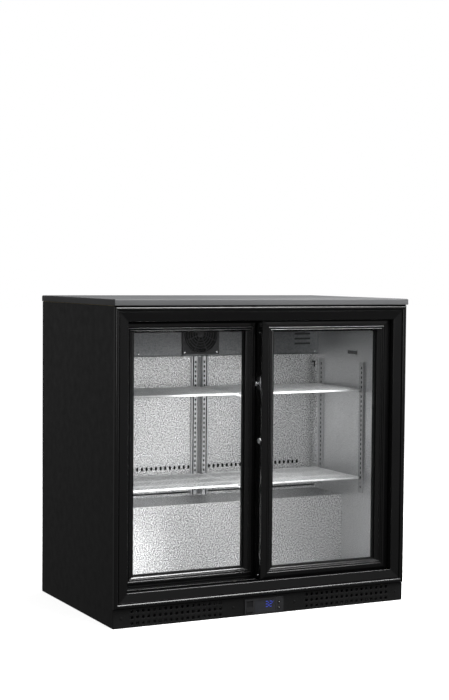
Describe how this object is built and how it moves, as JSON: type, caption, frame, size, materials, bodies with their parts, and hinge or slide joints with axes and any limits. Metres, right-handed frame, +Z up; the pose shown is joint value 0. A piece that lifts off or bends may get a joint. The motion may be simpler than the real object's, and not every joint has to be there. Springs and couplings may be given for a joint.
{
  "type": "under counter fridge",
  "caption": "Under counter back bar fridge with two sliding glass doors in a black frame, four wire shelves in an aluminium liner, a grey worktop and a vented kick panel.",
  "frame": {"origin": "bounding-box bottom centre: the middle of the cabinet on the floor", "axes": "+X to the right along the width, +Y from the doors to the back, +Z up"},
  "size_m": [0.9, 0.55, 0.865],
  "materials": {
    "black_panel": "satin black paint",
    "worktop_steel": "brushed",
    "black_aluminium": "black anodised, semi gloss",
    "galvanised": "galvanised",
    "foam": "rigid foam",
    "liner": "embossed",
    "wire": "gloss coated",
    "black_plastic": "matt",
    "grey_plastic": "satin",
    "display_window": "smoked",
    "glass": "clear",
    "lamp": "diffuser",
    "compressor_black": "gloss black paint",
    "chrome": "polished",
    "white_plastic": "satin"
  },
  "bodies": {
    "cabinet": {"worktop": "worktop_steel", "side_panel_left": "black_panel", "side_panel_right": "black_panel", "back_panel": "black_panel", "base_tray": "galvanised", "insulation_foam": "foam", "liner_left": "liner", "liner_right": "liner", "liner_ceiling": "liner", "liner_floor_and_back": "liner", "machine_bay_liner": "galvanised", "air_duct_panel": "liner", "frame_top": "black_aluminium", "frame_right": "black_aluminium", "frame_bottom": "black_aluminium", "frame_left": "black_aluminium", "bottom_track": "black_aluminium", "top_track": "black_aluminium", "kick_panel": "black_panel", "controller_housing": "grey_plastic", "controller_display": "display_window", "shelf_left_lower": "wire", "shelf_right_lower": "wire", "shelf_left_upper": "wire", "shelf_right_upper": "wire", "shelf_bracket_lower": "galvanised", "shelf_bracket_upper": "galvanised", "pilaster_centre": "liner", "pilaster_left_rear": "liner", "pilaster_left_front": "liner", "pilaster_right_rear": "liner", "pilaster_right_front": "liner", "evaporator_cover": "liner", "evaporator_fan_grille": "black_plastic", "evaporator_fan_frame": "black_plastic", "evaporator_coil": "galvanised", "light_bar": "lamp", "compressor": "compressor_black", "condenser": "galvanised", "condenser_fan_shroud": "black_plastic", "rear_grille": "black_panel", "power_cord_gland": "black_plastic"},
    "door_left": {"door_left_frame": "black_aluminium", "door_left_glass_outer": "glass", "door_left_glass_inner": "glass"},
    "door_left_roller_left": {"door_left_roller_left": "white_plastic"},
    "door_left_roller_right": {"door_left_roller_right": "white_plastic"},
    "door_right": {"door_right_frame": "black_aluminium", "door_right_glass_outer": "glass", "door_right_glass_inner": "glass", "pull_knob": "chrome"},
    "door_right_roller_left": {"door_right_roller_left": "white_plastic"},
    "door_right_roller_right": {"door_right_roller_right": "white_plastic"},
    "lock_cylinder": {"lock_cylinder": "chrome"},
    "lock_bolt": {"lock_bolt": "chrome"},
    "button_up": {"button_up": "black_plastic"},
    "button_down": {"button_down": "black_plastic"},
    "light_switch_rocker": {"light_switch_rocker": "black_plastic"},
    "evaporator_fan_rotor": {"evaporator_fan_rotor": "black_plastic"},
    "condenser_fan_rotor": {"condenser_fan_rotor": "grey_plastic"}
  },
  "joints": [
    {"name": "door_left_slide", "type": "slide", "parent": "cabinet", "child": "door_left", "axis": [1, 0, 0], "range_m": [0, 0.4]},
    {"name": "door_right_slide", "type": "slide", "parent": "cabinet", "child": "door_right", "axis": [1, 0, 0], "range_m": [-0.388, 0]},
    {"name": "door_left_roller_left_spin", "type": "hinge", "parent": "door_left", "child": "door_left_roller_left", "pos_m": [-0.344, -0.197, 0.0933], "axis": [0, 1, 0], "continuous": true},
    {"name": "door_left_roller_right_spin", "type": "hinge", "parent": "door_left", "child": "door_left_roller_right", "pos_m": [-0.058, -0.197, 0.0933], "axis": [0, 1, 0], "continuous": true},
    {"name": "door_right_roller_left_spin", "type": "hinge", "parent": "door_right", "child": "door_right_roller_left", "pos_m": [0.058, -0.233, 0.0933], "axis": [0, 1, 0], "continuous": true},
    {"name": "door_right_roller_right_spin", "type": "hinge", "parent": "door_right", "child": "door_right_roller_right", "pos_m": [0.344, -0.233, 0.0933], "axis": [0, 1, 0], "continuous": true},
    {"name": "lock_turn", "type": "hinge", "parent": "door_right", "child": "lock_cylinder", "pos_m": [-0.004, -0.237, 0.475], "axis": [1, 0, 0], "range_deg": [0, 90]},
    {"name": "lock_bolt_slide", "type": "slide", "parent": "door_right", "child": "lock_bolt", "axis": [0, 1, 0], "range_m": [0, 0.0035]},
    {"name": "button_up_press", "type": "slide", "parent": "cabinet", "child": "button_up", "axis": [0, 1, 0], "range_m": [0, 0.0012], "stiffness_N_per_m": 400},
    {"name": "button_down_press", "type": "slide", "parent": "cabinet", "child": "button_down", "axis": [0, 1, 0], "range_m": [0, 0.0012], "stiffness_N_per_m": 400},
    {"name": "light_switch_rock", "type": "hinge", "parent": "cabinet", "child": "light_switch_rocker", "pos_m": [-0.046, -0.264, 0.0235], "axis": [1, 0, 0], "range_deg": [0, 10]},
    {"name": "evaporator_fan_spin", "type": "hinge", "parent": "cabinet", "child": "evaporator_fan_rotor", "pos_m": [0, 0.1598, 0.7525], "axis": [0, 1, 0], "continuous": true},
    {"name": "condenser_fan_spin", "type": "hinge", "parent": "cabinet", "child": "condenser_fan_rotor", "pos_m": [-0.0937, 0.153, 0.1073], "axis": [1, 0, 0], "continuous": true}
  ],
  "couplings": [
    {"joint": "door_left_roller_left_spin", "follows": "door_left_slide", "rad_per_m": 111.11},
    {"joint": "door_left_roller_right_spin", "follows": "door_left_slide", "rad_per_m": 111.11},
    {"joint": "door_right_roller_left_spin", "follows": "door_right_slide", "rad_per_m": 111.11},
    {"joint": "door_right_roller_right_spin", "follows": "door_right_slide", "rad_per_m": 111.11},
    {"joint": "lock_bolt_slide", "follows": "lock_turn", "m_per_rad": 0.002165}
  ]
}
